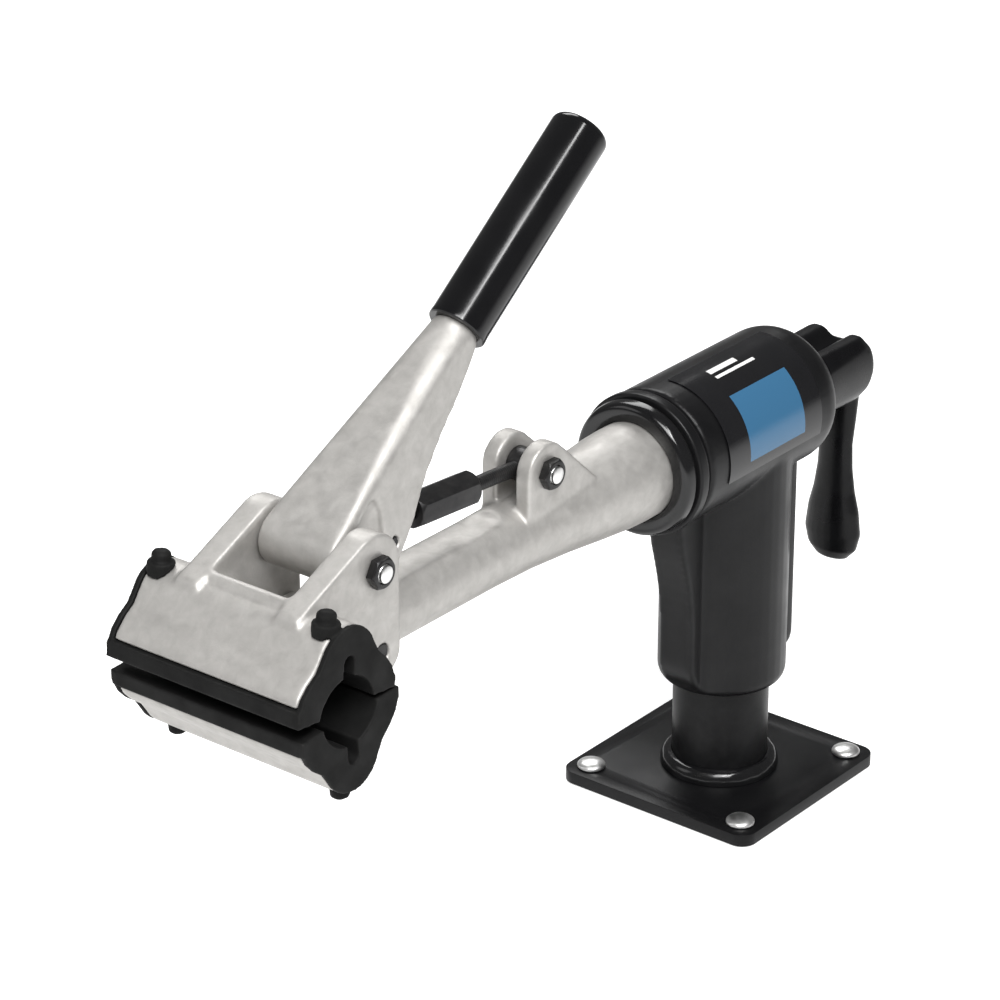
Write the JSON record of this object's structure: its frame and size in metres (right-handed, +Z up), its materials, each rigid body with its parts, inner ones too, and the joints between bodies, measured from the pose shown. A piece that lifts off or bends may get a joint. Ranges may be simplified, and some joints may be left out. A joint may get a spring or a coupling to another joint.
{
  "type": "bike repair stand",
  "caption": "Bench-mounted bike repair stand: a bolted base and post carry a rotating cast clamp with an adjustable over-centre lever and rubber-covered jaws.",
  "frame": {"origin": "middle of the base plate's underside, where the plate meets the bench", "axes": "+Z up from the bench; +Y along the barrel, from the jaws to the lock handle; +X along the jaws"},
  "size_m": [0.127, 0.5337, 0.4276],
  "materials": {
    "black_coat": "satin black powder coat",
    "cast_clamp": "satin cast and tumbled",
    "cast_head": "satin black paint over a casting",
    "zinc_bolts": "bright",
    "black_steel": "black oxide",
    "jaw_rubber": "matte dark grey",
    "grip_vinyl": "glossy black dip",
    "handle_black": "satin black",
    "bronze": "plain",
    "label_print": "gloss print: a plain blue disc and plain white bars on black"
  },
  "bodies": {
    "stand": {"base_plate": "black_coat", "mounting_bolt_1": "zinc_bolts", "mounting_bolt_2": "zinc_bolts", "mounting_bolt_3": "zinc_bolts", "mounting_bolt_4": "zinc_bolts", "weld_bead": "black_coat", "post_tube": "black_coat", "head_casting": "cast_head", "post_set_screw_1": "black_steel", "post_set_screw_2": "black_steel", "head_label": "label_print", "front_bush": "bronze", "rear_bush": "bronze", "front_ring": "cast_head", "rear_washer": "zinc_bolts"},
    "clamp": {"shaft_collar": "cast_head", "friction_washer": "black_steel", "clamp_arm": "cast_clamp", "lower_jaw_cover": "jaw_rubber", "jaw_pin": "black_steel", "rear_link_bolt": "zinc_bolts", "rear_link_nut": "black_steel"},
    "upper_jaw": {"upper_jaw": "cast_clamp", "upper_jaw_cover": "jaw_rubber", "lever_bolt": "zinc_bolts", "lever_nut": "black_steel"},
    "lever": {"lever": "cast_clamp", "lever_grip": "grip_vinyl", "link_pin": "black_steel"},
    "link": {"link_rear_end": "black_steel", "link_front_end": "black_steel"},
    "turnbuckle": {"turnbuckle": "black_steel"},
    "lock_handle": {"lock_handle": "handle_black", "lock_screw": "black_steel"}
  },
  "joints": [
    {"name": "clamp_rotate", "type": "hinge", "parent": "stand", "child": "clamp", "pos_m": [0, 0, 0.2154], "axis": [0, 1, 0], "continuous": true},
    {"name": "lock_handle_turn", "type": "hinge", "parent": "stand", "child": "lock_handle", "pos_m": [0, 0, 0.2154], "axis": [0, 1, 0], "range_deg": [-180, 180]},
    {"name": "jaw_open", "type": "hinge", "parent": "clamp", "child": "upper_jaw", "pos_m": [0, -0.332, 0.219], "axis": [-1, 0, 0], "range_deg": [0, 21]},
    {"name": "lever_swing", "type": "hinge", "parent": "upper_jaw", "child": "lever", "pos_m": [0, -0.336, 0.264], "axis": [1, 0, 0], "range_deg": [0, 80]},
    {"name": "link_swing", "type": "hinge", "parent": "clamp", "child": "link", "pos_m": [0, -0.1765, 0.251], "axis": [-1, 0, 0], "range_deg": [0, 14.4]},
    {"name": "turnbuckle_turn", "type": "hinge", "parent": "link", "child": "turnbuckle", "pos_m": [0, -0.24331, 0.25606], "axis": [0, -0.9971, 0.0755], "range_deg": [-180, 180]}
  ],
  "couplings": [
    {"joint": "jaw_open", "follows": "lever_swing", "ratio": 0.262},
    {"joint": "link_swing", "follows": "lever_swing", "ratio": 0.18}
  ]
}
